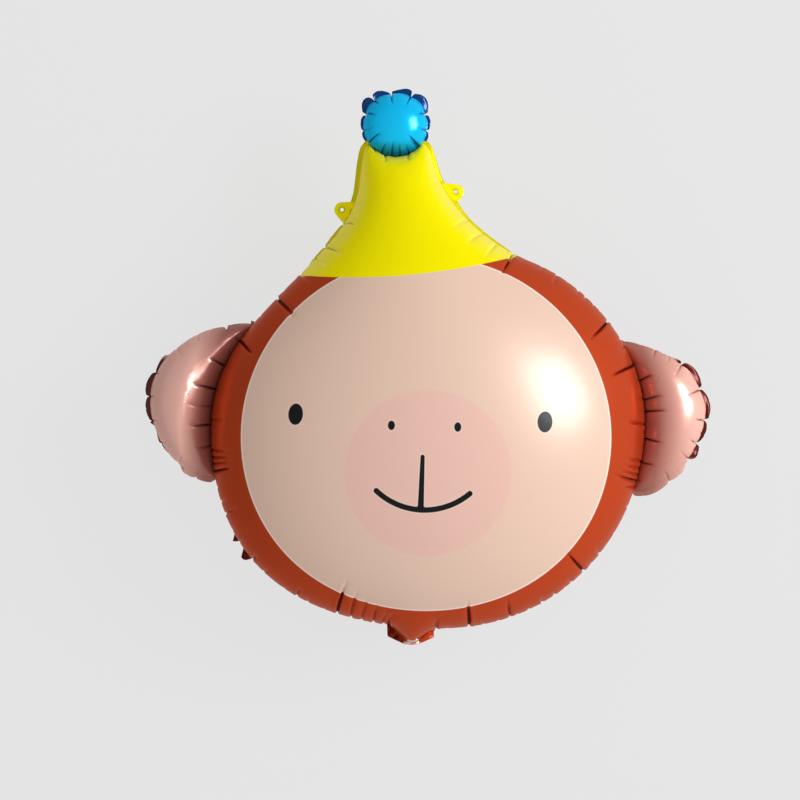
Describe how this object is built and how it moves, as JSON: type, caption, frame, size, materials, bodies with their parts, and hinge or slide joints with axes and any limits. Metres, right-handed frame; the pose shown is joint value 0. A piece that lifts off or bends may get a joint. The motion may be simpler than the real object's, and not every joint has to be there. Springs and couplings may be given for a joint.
{
  "type": "balloon monkey",
  "caption": "Inflated foil party balloon in the shape of a monkey's head with ears, a pointed hat and a bobble, heat-sealed round its outline and lying on its back.",
  "frame": {"origin": "middle of the flat resting spot on the back, on the surface that the balloon lies on", "axes": "+Z out of the face, along the balloon's thickness; +Y from the chin to the hat; +X to the viewer's right as one looks at the face"},
  "size_m": [0.5963, 0.5855, 0.265],
  "materials": {
    "printed_foil": "satin printed metallised film: red-brown with a peach face, yellow hat, pink ears and blue bobble"
  },
  "bodies": {
    "root": {"balloon": "printed_foil"}
  },
  "joints": []
}
